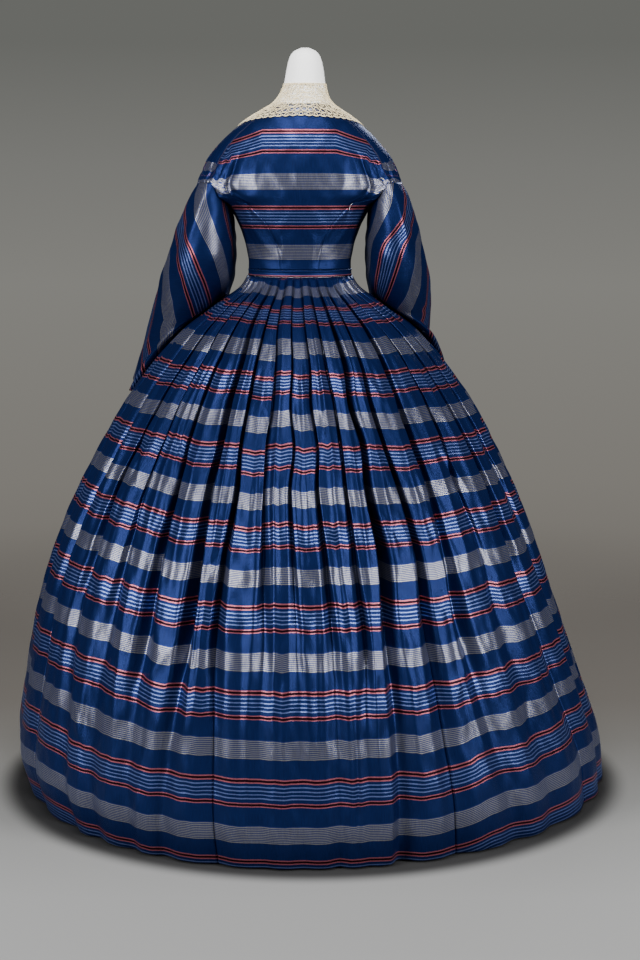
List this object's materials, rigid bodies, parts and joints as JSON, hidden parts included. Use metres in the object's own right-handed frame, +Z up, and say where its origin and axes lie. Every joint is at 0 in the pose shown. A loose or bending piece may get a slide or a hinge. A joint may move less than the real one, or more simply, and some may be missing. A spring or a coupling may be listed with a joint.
{
  "type": "afternoon dress on limbless dress form",
  "caption": "Striped silk afternoon dress with a wide pleated skirt, open wide sleeves and a lace collar, standing on a limbless dress form with a round base.",
  "frame": {"origin": "centre of the stand base's underside, under the middle of the waist", "axes": "+Z up, the wearer's back faces -Y, +X is the wearer's right"},
  "size_m": [1.2317, 1.1253, 1.503],
  "materials": {
    "silk": "satin",
    "lace": "matte",
    "form": "matte",
    "steel": "satin"
  },
  "bodies": {
    "root": {"bodice_centre_back": "silk", "bodice_side_back_left": "silk", "bodice_side_back_right": "silk", "bodice_front_left": "silk", "bodice_front_right": "silk", "sleeve_left": "silk", "sleeve_right": "silk", "waistband": "silk", "skirt_centre_back": "silk", "skirt_back_right": "silk", "skirt_side_right": "silk", "skirt_front_right": "silk", "skirt_centre_front": "silk", "skirt_front_left": "silk", "skirt_side_left": "silk", "skirt_back_left": "silk", "lace_collar": "lace", "form_torso": "form", "stand_pole": "steel", "stand_base": "steel"}
  },
  "joints": []
}
